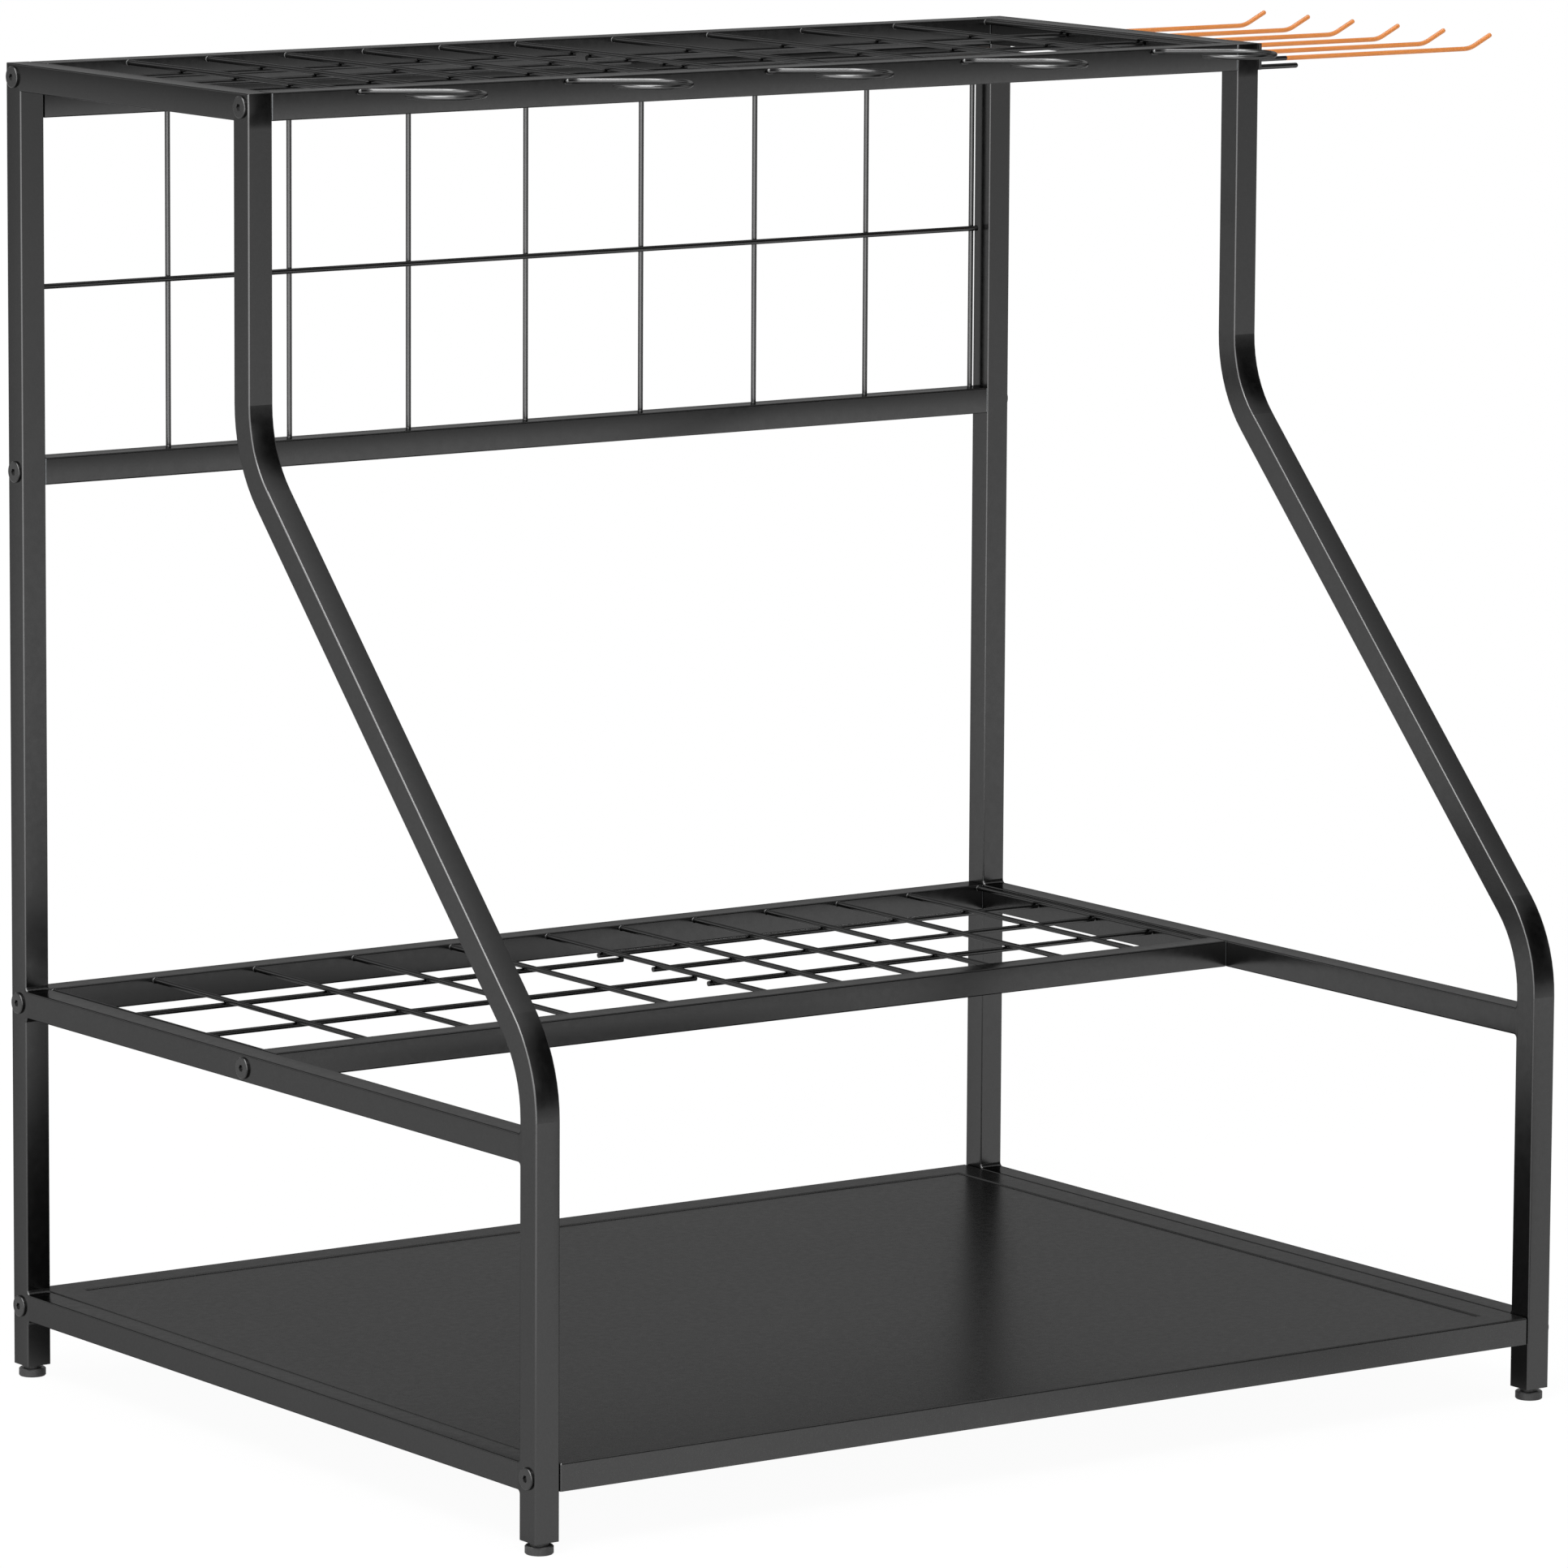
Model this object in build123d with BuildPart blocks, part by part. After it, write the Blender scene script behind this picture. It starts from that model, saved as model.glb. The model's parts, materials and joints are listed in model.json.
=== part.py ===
"""Garden tool rack: two bent tube side frames carrying two wire grids, a wire back panel and a shelf.

The rack stands on the floor at Z = 0. The front faces -Y and +X is the right side, where the hooks are.
The origin lies under the middle of the whole rack with its hooks, so the frame's middle is left of it.
All sizes are in millimetres.
"""

import os
from math import cos, radians, sin, tan

from build123d import *

# Overall sizes of the frame
frame_width = 957.3
frame_height = 1041.2
base_depth = 744.3
top_depth = 354.8

# Square tube of the frame and the cross rails
tube = 21.3
tube_wall = 1.2
tube_corner = 1.2

# Heights of the undersides of the rails above the floor
bottom_rail_height = 46.4
middle_rail_height = 289.8
panel_rail_height = 711.1

# Front post bends
slant_angle = 43.9
bend_radius = 100.0
bend_above_rail = 10.4

# Round wire of the grids, the back panel and the ring hooks
wire_diameter = 4.2
wire_below_rail_top = 0.5
wire_overhang = 3.0

# Grid layout
small_columns = 6
large_columns = 5
small_rows = 4
large_rows = 3
grid_split_offset = 15.7
grid_end_inset = 4.55

# Back panel layout
panel_columns = 8
panel_edge = 5.75
panel_shift = 3.8
panel_end_inset = 6.45
panel_wire_inset = 2.55

# Shelf tray of folded sheet
shelf_sheet = 1.2
shelf_recess = 1.0
shelf_recess_slope = 45.0
shelf_border = 25.5
shelf_fold_radius = 1.5
stiffener_width = 40.0
stiffener_height = 12.0
stiffener_spacing = 248.0
stiffener_end_gap = 12.0

# Ring hooks on the front rail
ring_count = 5
ring_radius = 31.2
ring_foot = 9.3
ring_tail_angle = 32.0
ring_tail_reach = 55.7
ring_foot_bend = 12.0
ring_sweep = 243.0
ring_left_margin = 74.85
ring_right_margin = 87.85

# Hook rail and hooks on the right side
hook_rail_thickness = 3.0
hook_count = 6
hook_end_margin = 27.4
hook_root_diameter = 3.8
hook_core_diameter = 2.6
hook_root_length = 46.35
hook_reach = 232.35
hook_bend_radius = 26.0
hook_upturn = 26.0
hook_tip_length = 18.8
hook_below_rail_top = 15.5
sleeve_cap = 1.2
sleeve_clearance = 0.05
peg_diameter = 4.2
peg_length = 38.35

# Bolted joints
bolt_diameter = 6.0
bolt_head_diameter = 17.0
bolt_head_height = 2.0
bolt_head_round = 0.9
bolt_socket = 5.0
bolt_socket_depth = 1.4
bolt_grip = 13.0
bolt_hole_clearance = 0.2
rim_search_tolerance = 0.01
thread_clearance = 0.05
joint_seam = 0.8
insert_depth = 16.0
insert_clearance = 0.05
insert_flange_inset = 0.6
washer_diameter = 13.0
nut_flats = 10.0
nut_height = 5.0

# Levelling feet
foot_diameter = 21.4
foot_pad_height = 6.5
foot_neck_diameter = 14.0
foot_neck_height = 3.0
foot_edge = 0.8
foot_stud_diameter = 8.0
foot_stud_length = 26.0
foot_plug_height = 20.0

# Derived places
half_width = frame_width / 2
inner_half = half_width - tube
span = frame_width - 2 * tube
post_bottom = foot_pad_height + foot_neck_height
tube_inner = tube - 2 * tube_wall
inner_corner = max(tube_corner - tube_wall, 0.2)

y_rear = base_depth / 2
y_front = -base_depth / 2
y_top_front = y_rear - top_depth
y_rear_mid = y_rear - tube / 2
y_front_mid = y_front + tube / 2
y_top_front_mid = y_top_front + tube / 2

z_top_mid = frame_height - tube / 2
z_middle_mid = middle_rail_height + tube / 2
z_middle_top = middle_rail_height + tube
z_bottom_mid = bottom_rail_height + tube / 2
z_panel_mid = panel_rail_height + tube / 2
z_shelf_top = bottom_rail_height + tube

bend_setback = bend_radius * tan(radians(slant_angle / 2))
z_lower_bend = z_middle_top + bend_above_rail + bend_setback
z_upper_bend = z_lower_bend + (y_top_front_mid - y_front_mid) / tan(radians(slant_angle))

bolt_hole = bolt_diameter / 2 + bolt_hole_clearance
thread_bore = bolt_diameter / 2 + thread_clearance
foot_bore = foot_stud_diameter / 2 + thread_clearance
insert_side = tube_inner - 2 * insert_clearance
flange_side = tube - 2 * insert_flange_inset
rail_half = inner_half - joint_seam
shelf_width = 2 * rail_half

x_hook_rail = half_width + hook_rail_thickness
hook_bend_reach = hook_bend_radius * sin(radians(hook_upturn))
hook_tip_x = x_hook_rail + hook_reach + hook_bend_reach + hook_tip_length * cos(radians(hook_upturn))
x_frame = -(hook_tip_x - half_width - bolt_head_height) / 2

# Planes through the middle of the frame
frame_xy = Plane(origin=(x_frame, 0, 0))
frame_yz = Plane.YZ.offset(x_frame)
frame_xz = Plane(origin=(x_frame, 0, 0), x_dir=(1, 0, 0), z_dir=(0, -1, 0))

SIDES = (("left", -1), ("right", 1))


def save(builder, name):
    """Labels a finished piece and writes it under its node name."""
    builder.part.label = name
    export_step(builder.part, f"parts/{name}.step")


def tube_section():
    """Draws the hollow square tube section in the sketch at hand."""
    RectangleRounded(tube, tube, tube_corner)
    RectangleRounded(tube_inner, tube_inner, inner_corner, mode=Mode.SUBTRACT)


def bore_across(places, radius, side):
    """Drills round holes along X through one side of the frame at the given Y and Z places."""
    with BuildSketch(frame_yz.offset(side * (inner_half - tube))) as holes:
        with Locations(*places):
            Circle(radius)
    extrude(holes.sketch, amount=side * 3 * tube, mode=Mode.SUBTRACT)


def tube_along_x(y_mid, z_mid):
    """Draws a cross rail between the side frames in the part at hand."""
    with BuildSketch(frame_yz.offset(-rail_half)) as section:
        with Locations((y_mid, z_mid)):
            tube_section()
    extrude(section.sketch, amount=2 * rail_half)


def tube_along_y(x_mid, y_from, y_to, z_mid):
    """Draws a front-to-back rail in the part at hand."""
    with BuildSketch(frame_xz.offset(-y_to)) as section:
        with Locations((x_mid, z_mid)):
            tube_section()
    extrude(section.sketch, amount=y_to - y_from)


def grid_columns(mirror_sign):
    """Gives the X places of the front-to-back wires: the small cells first, then the large ones."""
    small_end = -(span / 2 - grid_end_inset)
    split_x = -grid_split_offset
    large_end = span / 2 - grid_end_inset
    small_step = (split_x - small_end) / small_columns
    large_step = (large_end - split_x) / large_columns
    places = [small_end + i * small_step for i in range(small_columns + 1)]
    places += [split_x + (i + 1) * large_step for i in range(large_columns)]
    return [mirror_sign * x for x in places]


def grid_rows(rows):
    """Gives the Y places of the cross wires between the grid's two rails."""
    y_from = y_top_front + tube
    y_to = y_rear - tube
    return [y_from + (i + 1) * (y_to - y_from) / rows for i in range(rows - 1)]


os.makedirs("parts", exist_ok=True)

# Places of the bolts on a side frame, as Y and Z of their axes
frame_bolts = [
    (y_rear_mid, z_top_mid),
    (y_top_front_mid, z_top_mid),
    (y_rear_mid, z_panel_mid),
    (y_rear_mid, z_middle_mid),
    (y_top_front_mid, z_middle_mid),
    (y_rear_mid, z_bottom_mid),
    (y_front_mid, z_bottom_mid),
]
rear_mitre = Plane(origin=(0, y_rear, frame_height), z_dir=(0, -1, 1))
front_mitre = Plane(origin=(0, y_top_front, frame_height), z_dir=(0, 1, 1))

# Side frames
for side, sx in SIDES:
    x_mid = sx * (half_width - tube / 2)

    with BuildPart() as rear_post:
        with BuildSketch(frame_xy.offset(post_bottom)):
            with Locations((x_mid, y_rear_mid)):
                tube_section()
        extrude(amount=frame_height - post_bottom)
        split(bisect_by=rear_mitre, keep=Keep.BOTTOM)
        bore_across([p for p in frame_bolts if p[0] == y_rear_mid], bolt_hole, sx)
    save(rear_post, f"{side}_rear_post")

    with BuildPart() as front_post:
        with BuildLine(frame_yz.offset(x_mid)) as post_path:
            FilletPolyline(
                (y_top_front_mid, frame_height),
                (y_top_front_mid, z_upper_bend),
                (y_front_mid, z_lower_bend),
                (y_front_mid, post_bottom),
                radius=bend_radius,
            )
        with BuildSketch(Plane(origin=post_path.line @ 0, x_dir=(1, 0, 0), z_dir=post_path.line % 0)):
            tube_section()
        sweep()
        split(bisect_by=front_mitre, keep=Keep.BOTTOM)
        bore_across([(y_top_front_mid, z_top_mid), (y_front_mid, z_bottom_mid)], bolt_hole, sx)
    save(front_post, f"{side}_front_post")

    with BuildPart() as top_rail:
        tube_along_y(x_mid, y_top_front, y_rear, z_top_mid)
        split(bisect_by=rear_mitre, keep=Keep.TOP)
        split(bisect_by=front_mitre, keep=Keep.TOP)
        bore_across([p for p in frame_bolts if p[1] == z_top_mid], bolt_hole, sx)
    save(top_rail, f"{side}_top_rail")

    with BuildPart() as middle_rail:
        tube_along_y(x_mid, y_front + tube, y_rear - tube, z_middle_mid)
        bore_across([(y_top_front_mid, z_middle_mid)], bolt_hole, sx)
    save(middle_rail, f"{side}_middle_rail")

    with BuildPart() as bottom_rail:
        tube_along_y(x_mid, y_front + tube, y_rear - tube, z_bottom_mid)
    save(bottom_rail, f"{side}_bottom_rail")

# Wire grids: the middle one is the top one turned end for end
for grid, mirror_sign, z_rail_mid in (("top_grid", 1, z_top_mid), ("middle_grid", -1, z_middle_mid)):
    z_depth_wire = z_rail_mid + tube / 2 - wire_below_rail_top - wire_diameter / 2
    z_cross_wire = z_depth_wire - wire_diameter
    columns = grid_columns(mirror_sign)
    split_x = columns[small_columns]

    with BuildPart() as grid_front_rail:
        tube_along_x(y_top_front_mid, z_rail_mid)
    save(grid_front_rail, f"{grid}_front_rail")

    with BuildPart() as grid_rear_rail:
        tube_along_x(y_rear_mid, z_rail_mid)
    save(grid_rear_rail, f"{grid}_rear_rail")

    with BuildPart() as depth_wires:
        with BuildSketch(frame_xz.offset(-(y_rear - tube))):
            with Locations(*[(x, z_depth_wire) for x in columns]):
                Circle(wire_diameter / 2)
        extrude(amount=top_depth - 2 * tube)
    save(depth_wires, f"{grid}_depth_wires")

    cell_kinds = (("small_cell", small_rows, columns[0]), ("large_cell", large_rows, columns[-1]))
    for cells, rows, end_x in cell_kinds:
        reach = abs(end_x - split_x) + 2 * wire_overhang
        with BuildPart() as cross_wires:
            with BuildSketch(frame_yz.offset(min(end_x, split_x) - wire_overhang)):
                with Locations(*[(y, z_cross_wire) for y in grid_rows(rows)]):
                    Circle(wire_diameter / 2)
            extrude(amount=reach)
        save(cross_wires, f"{grid}_{cells}_wires")

# Back panel between the rear posts
z_panel_top_mid = frame_height - tube - tube / 2
z_panel_low = panel_rail_height + tube
z_panel_high = frame_height - 2 * tube
panel_step = (span - 2 * panel_edge) / panel_columns
panel_end_x = span / 2 - panel_end_inset
panel_places = [panel_shift + (i - panel_columns / 2) * panel_step for i in range(1, panel_columns)]
panel_places = [-panel_end_x] + panel_places + [panel_end_x]
y_panel_upright = y_rear - panel_wire_inset - wire_diameter / 2
y_panel_cross = y_panel_upright - wire_diameter

with BuildPart() as back_panel_bottom_rail:
    tube_along_x(y_rear_mid, z_panel_mid)
save(back_panel_bottom_rail, "back_panel_bottom_rail")

with BuildPart() as back_panel_top_rail:
    tube_along_x(y_rear_mid, z_panel_top_mid)
save(back_panel_top_rail, "back_panel_top_rail")

with BuildPart() as back_panel_upright_wires:
    with BuildSketch(frame_xy.offset(z_panel_low)):
        with Locations(*[(x, y_panel_upright) for x in panel_places]):
            Circle(wire_diameter / 2)
    extrude(amount=z_panel_high - z_panel_low)
save(back_panel_upright_wires, "back_panel_upright_wires")

with BuildPart() as back_panel_cross_wire:
    with BuildSketch(frame_yz.offset(-panel_end_x - wire_overhang)):
        with Locations((y_panel_cross, (z_panel_low + z_panel_high) / 2)):
            Circle(wire_diameter / 2)
    extrude(amount=2 * (panel_end_x + wire_overhang))
save(back_panel_cross_wire, "back_panel_cross_wire")

# Shelf tray, open underneath, with its recessed field sloped down inside a flat border
z_field_under = z_shelf_top - shelf_recess - shelf_sheet
field_x = shelf_width - 2 * shelf_border
field_y = base_depth - 2 * shelf_border

with BuildPart() as shelf_tray:
    with BuildSketch(frame_xy.offset(bottom_rail_height)):
        Rectangle(shelf_width, base_depth)
    extrude(amount=tube)
    fillet(shelf_tray.edges().filter_by(Axis.Z), radius=shelf_fold_radius)
    fillet(shelf_tray.faces().sort_by(Axis.Z)[-1].edges(), radius=0.98 * shelf_fold_radius)
    with BuildSketch(frame_xy.offset(z_shelf_top)):
        Rectangle(field_x, field_y)
    extrude(amount=-shelf_recess, taper=shelf_recess_slope, mode=Mode.SUBTRACT)
    with BuildSketch(frame_xy.offset(bottom_rail_height)):
        Rectangle(shelf_width - 2 * shelf_sheet, base_depth - 2 * shelf_sheet)
    extrude(amount=z_field_under - bottom_rail_height, mode=Mode.SUBTRACT)
    with BuildSketch(frame_xy.offset(z_field_under)):
        Rectangle(shelf_width - 2 * shelf_sheet, base_depth - 2 * shelf_sheet)
        Rectangle(field_x + 2 * shelf_sheet, field_y + 2 * shelf_sheet, mode=Mode.SUBTRACT)
    extrude(amount=shelf_recess, mode=Mode.SUBTRACT)
    for side, sx in SIDES:
        bore_across([(y_rear_mid, z_bottom_mid), (y_front_mid, z_bottom_mid)], bolt_hole, sx)
save(shelf_tray, "shelf_tray")

z_stiffener = z_field_under - stiffener_height / 2
for end, sy in (("front", -1), ("rear", 1)):
    y_stiffener = sy * stiffener_spacing / 2
    with BuildPart() as stiffener:
        with BuildSketch(frame_yz.offset(-shelf_width / 2 + stiffener_end_gap)):
            with Locations((y_stiffener, z_stiffener)):
                Rectangle(stiffener_width, stiffener_height)
            with Locations((y_stiffener, z_stiffener - shelf_sheet)):
                Rectangle(stiffener_width - 2 * shelf_sheet, stiffener_height, mode=Mode.SUBTRACT)
        extrude(amount=shelf_width - 2 * stiffener_end_gap)
    save(stiffener, f"shelf_stiffener_{end}")

# Open ring hooks: a short foot along the front rail, a slanted tail and a ring left open at the back
z_ring = frame_height - wire_diameter / 2
y_ring_foot = y_top_front - wire_diameter / 2
ring_step = (span - ring_left_margin - ring_right_margin) / (ring_count - 1)
tail_dx = ring_tail_reach * cos(radians(ring_tail_angle))
tail_dy = -ring_tail_reach * sin(radians(ring_tail_angle))

for i in range(ring_count):
    tip_x = -span / 2 + ring_left_margin + i * ring_step
    bend_x = tip_x + ring_foot
    with BuildPart() as ring_hook:
        with BuildLine(frame_xy.offset(z_ring)) as ring_path:
            tail = FilletPolyline(
                (tip_x, y_ring_foot),
                (bend_x, y_ring_foot),
                (bend_x + tail_dx, y_ring_foot + tail_dy),
                radius=ring_foot_bend,
            )
            JernArc(start=tail @ 1, tangent=tail % 1, radius=ring_radius, arc_size=-ring_sweep)
        with BuildSketch(Plane(origin=ring_path.line @ 0, z_dir=ring_path.line % 0)):
            Circle(wire_diameter / 2)
        sweep()
        fillet(ring_hook.faces().filter_by(GeomType.PLANE).edges(), radius=0.45 * wire_diameter)
    save(ring_hook, f"ring_hook_{i + 1}")

# Hook rail on the outer face of the right top rail, with six hooks and a front peg
z_hook = frame_height - hook_below_rail_top
hook_step = (top_depth - 2 * hook_end_margin) / (hook_count - 1)
hook_places = [y_top_front + hook_end_margin + i * hook_step for i in range(hook_count)]

with BuildPart() as hook_rail:
    with BuildSketch(frame_yz.offset(half_width)):
        with Locations(((y_top_front + y_rear) / 2, z_top_mid)):
            Rectangle(top_depth, tube)
    extrude(amount=hook_rail_thickness)
    fillet(hook_rail.edges().filter_by(Axis.X), radius=tube_corner / 2)
    bore_across([p for p in frame_bolts if p[1] == z_top_mid], bolt_hole, 1)
save(hook_rail, "hook_rail")

for i, y_hook in enumerate(hook_places):
    hook_plane = Plane(origin=(x_frame + x_hook_rail, y_hook, z_hook), x_dir=(1, 0, 0), z_dir=(0, -1, 0))
    face_plane = frame_yz.offset(x_hook_rail)

    with BuildPart() as hook_wire:
        with BuildLine(hook_plane) as core_path:
            core_run = Line((0, 0), (hook_reach, 0))
            core_bend = JernArc(
                start=core_run @ 1, tangent=core_run % 1, radius=hook_bend_radius, arc_size=hook_upturn
            )
            Line(core_bend @ 1, core_bend @ 1 + (core_bend % 1) * (hook_tip_length - sleeve_cap))
        with BuildSketch(face_plane):
            with Locations((y_hook, z_hook)):
                Circle(hook_core_diameter / 2)
        sweep()
        with BuildSketch(face_plane):
            with Locations((y_hook, z_hook)):
                Circle(hook_root_diameter / 2)
        extrude(amount=hook_root_length)
    save(hook_wire, f"hook_wire_{i + 1}")

    with BuildPart() as hook_sleeve:
        with BuildLine(hook_plane):
            outer_run = Line((hook_root_length, 0), (hook_reach, 0))
            outer_bend = JernArc(
                start=outer_run @ 1, tangent=outer_run % 1, radius=hook_bend_radius, arc_size=hook_upturn
            )
            Line(outer_bend @ 1, outer_bend @ 1 + (outer_bend % 1) * hook_tip_length)
        with BuildSketch(face_plane.offset(hook_root_length)):
            with Locations((y_hook, z_hook)):
                Circle(hook_root_diameter / 2)
        sweep()
        fillet(hook_sleeve.faces().sort_by(Axis.X)[-1].edges(), radius=0.4 * hook_root_diameter)
        with BuildLine(hook_plane):
            inner_run = Line((hook_root_length, 0), (hook_reach, 0))
            inner_bend = JernArc(
                start=inner_run @ 1, tangent=inner_run % 1, radius=hook_bend_radius, arc_size=hook_upturn
            )
            Line(inner_bend @ 1, inner_bend @ 1 + (inner_bend % 1) * (hook_tip_length - sleeve_cap))
        with BuildSketch(face_plane.offset(hook_root_length)):
            with Locations((y_hook, z_hook)):
                Circle(hook_core_diameter / 2 + sleeve_clearance)
        sweep(mode=Mode.SUBTRACT)
    save(hook_sleeve, f"hook_sleeve_{i + 1}")

with BuildPart() as hook_rail_peg:
    with BuildSketch(frame_yz.offset(x_hook_rail)):
        with Locations((y_top_front + peg_diameter / 2, frame_height - tube + peg_diameter / 2)):
            Circle(peg_diameter / 2)
    extrude(amount=peg_length)
    fillet(hook_rail_peg.faces().sort_by(Axis.X)[-1].edges(), radius=0.45 * peg_diameter)
save(hook_rail_peg, "hook_rail_peg")

# Bolts through the side frames into the cross rails and the shelf
for side, sx in SIDES:
    with BuildPart() as bolts:
        for y_bolt, z_bolt in frame_bolts:
            extra = hook_rail_thickness if side == "right" and z_bolt == z_top_mid else 0.0
            x_seat = x_frame + sx * (half_width + extra)
            seat = Plane(origin=(x_seat, y_bolt, z_bolt), x_dir=(0, sx, 0), z_dir=(sx, 0, 0))
            with BuildSketch(seat):
                Circle(bolt_head_diameter / 2)
            extrude(amount=bolt_head_height)
            with BuildSketch(seat):
                Circle(bolt_diameter / 2)
            extrude(amount=-(tube + bolt_grip))
            with BuildSketch(seat.offset(bolt_head_height)):
                RegularPolygon(radius=bolt_socket / 2, side_count=6, major_radius=False)
            extrude(amount=-bolt_socket_depth, mode=Mode.SUBTRACT)
        head_tops = (half_width + bolt_head_height, x_hook_rail + bolt_head_height)
        rims = bolts.edges().filter_by(GeomType.CIRCLE).filter_by(lambda e: e.radius > bolt_hole)
        rims = rims.filter_by(
            lambda e: min(abs(abs(e.center().X - x_frame) - x) for x in head_tops) < rim_search_tolerance
        )
        fillet(rims, radius=bolt_head_round)
    save(bolts, f"{side}_bolts")

# Threaded inserts in the ends of the bolted cross rails, each with a thin flange against the frame
insert_places = [p for p in frame_bolts if p[1] != z_bottom_mid]
with BuildPart() as rail_inserts:
    for side, sx in SIDES:
        with BuildSketch(frame_yz.offset(sx * inner_half)):
            with Locations(*insert_places):
                RectangleRounded(flange_side, flange_side, inner_corner)
        extrude(amount=-sx * joint_seam)
        with BuildSketch(frame_yz.offset(sx * rail_half)):
            with Locations(*insert_places):
                RectangleRounded(insert_side, insert_side, inner_corner)
        extrude(amount=-sx * insert_depth)
        bore_across(insert_places, thread_bore, sx)
save(rail_inserts, "rail_inserts")

# Washers between the posts and the shelf's side flanges, and nuts welded inside the flanges
with BuildPart() as shelf_washers:
    for side, sx in SIDES:
        with BuildSketch(frame_yz.offset(sx * inner_half)):
            with Locations((y_rear_mid, z_bottom_mid), (y_front_mid, z_bottom_mid)):
                Circle(washer_diameter / 2)
                Circle(bolt_hole, mode=Mode.SUBTRACT)
        extrude(amount=-sx * joint_seam)
save(shelf_washers, "shelf_washers")

with BuildPart() as shelf_nuts:
    for side, sx in SIDES:
        with BuildSketch(frame_yz.offset(sx * (rail_half - shelf_sheet))):
            with Locations((y_rear_mid, z_bottom_mid), (y_front_mid, z_bottom_mid)):
                RegularPolygon(radius=nut_flats / 2, side_count=6, major_radius=False)
                Circle(thread_bore, mode=Mode.SUBTRACT)
        extrude(amount=-sx * nut_height)
save(shelf_nuts, "shelf_nuts")

# Threaded plugs in the post bottoms, and the levelling feet screwed into them
foot_places = [(sx * (half_width - tube / 2), y) for side, sx in SIDES for y in (y_front_mid, y_rear_mid)]
with BuildPart() as foot_plugs:
    with BuildSketch(frame_xy.offset(post_bottom)):
        with Locations(*foot_places):
            RectangleRounded(insert_side, insert_side, inner_corner)
            Circle(foot_bore, mode=Mode.SUBTRACT)
    extrude(amount=foot_plug_height)
save(foot_plugs, "foot_plugs")

for side, sx in SIDES:
    for end, y_foot in (("front", y_front_mid), ("rear", y_rear_mid)):
        foot_plane = Plane(origin=(x_frame + sx * (half_width - tube / 2), y_foot, 0))
        with BuildPart() as foot:
            with BuildSketch(foot_plane):
                Circle(foot_diameter / 2)
            extrude(amount=foot_pad_height)
            chamfer(foot.edges().filter_by(GeomType.CIRCLE), length=foot_edge)
            with BuildSketch(foot_plane.offset(foot_pad_height)):
                Circle(foot_neck_diameter / 2)
            extrude(amount=foot_neck_height)
            with BuildSketch(foot_plane.offset(post_bottom)):
                Circle(foot_stud_diameter / 2)
            extrude(amount=foot_stud_length)
        save(foot, f"foot_{end}_{side}")
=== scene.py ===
"""Looks of the garden tool rack.

Black powder-coated tube, sheet and wire, orange dipped hook sleeves, welds, bolts and feet, in a pale studio.
Lengths held in fields are in millimetres, or in metres where a name or a docstring says so.
"""

import json
import logging
import math
from dataclasses import dataclass, field
from enum import Enum

import bmesh
import bpy
from mathutils import Matrix, Vector

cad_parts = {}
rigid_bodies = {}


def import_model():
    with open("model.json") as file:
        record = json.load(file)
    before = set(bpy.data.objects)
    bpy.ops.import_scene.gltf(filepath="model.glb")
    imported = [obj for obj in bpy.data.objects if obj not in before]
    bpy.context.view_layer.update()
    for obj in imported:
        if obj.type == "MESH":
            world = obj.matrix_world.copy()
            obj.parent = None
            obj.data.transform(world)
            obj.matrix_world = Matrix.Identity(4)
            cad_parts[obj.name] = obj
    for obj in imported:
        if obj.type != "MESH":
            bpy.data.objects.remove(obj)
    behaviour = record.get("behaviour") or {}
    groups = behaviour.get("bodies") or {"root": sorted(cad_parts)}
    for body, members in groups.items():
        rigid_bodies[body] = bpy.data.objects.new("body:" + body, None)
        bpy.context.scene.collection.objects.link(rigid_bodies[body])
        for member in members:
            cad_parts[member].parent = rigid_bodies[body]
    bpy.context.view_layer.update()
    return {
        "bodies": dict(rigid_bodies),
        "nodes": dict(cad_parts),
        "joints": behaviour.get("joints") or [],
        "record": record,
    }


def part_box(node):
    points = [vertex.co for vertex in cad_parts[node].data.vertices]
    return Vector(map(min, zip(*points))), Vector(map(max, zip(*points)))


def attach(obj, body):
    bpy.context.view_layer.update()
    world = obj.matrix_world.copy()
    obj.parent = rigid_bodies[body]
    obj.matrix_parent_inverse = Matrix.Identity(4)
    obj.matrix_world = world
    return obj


LOG = logging.getLogger("tool_rack")
MM = 0.001

Material = bpy.types.Material
Tree = bpy.types.NodeTree
Node = bpy.types.Node
Socket = bpy.types.NodeSocket

# The sRGB curve: the end and slope of its straight part, then its offset and power.
SRGB_STRAIGHT_END = 0.04045
SRGB_SLOPE = 12.92
SRGB_OFFSET = 0.055
SRGB_POWER = 2.4
CHANNEL_TOP = 255

# Nearly all values of a noise texture lie between these two.
NOISE_SPAN = (0.3, 0.7)


class Way(Enum):
    """A choice between two directions, by their signs."""

    @property
    def word(self) -> str:
        """The direction's name as it stands in the node names."""
        return self.name.lower()


class Side(Way):
    """The two side frames, by the sign of their X direction."""

    LEFT = -1
    RIGHT = 1


class End(Way):
    """The two ends of a side frame, by the sign of their Y direction."""

    FRONT = -1
    REAR = 1


class Coat(Enum):
    """The pieces that the black powder coat lies on, by their form and the way they run."""

    CROSS_TUBE = "cross_tube"
    DEPTH_TUBE = "depth_tube"
    UPRIGHT_TUBE = "upright_tube"
    LEFT_POST = "left_post"
    RIGHT_POST = "right_post"
    SHEET = "sheet"
    WIRE = "wire"


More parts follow.
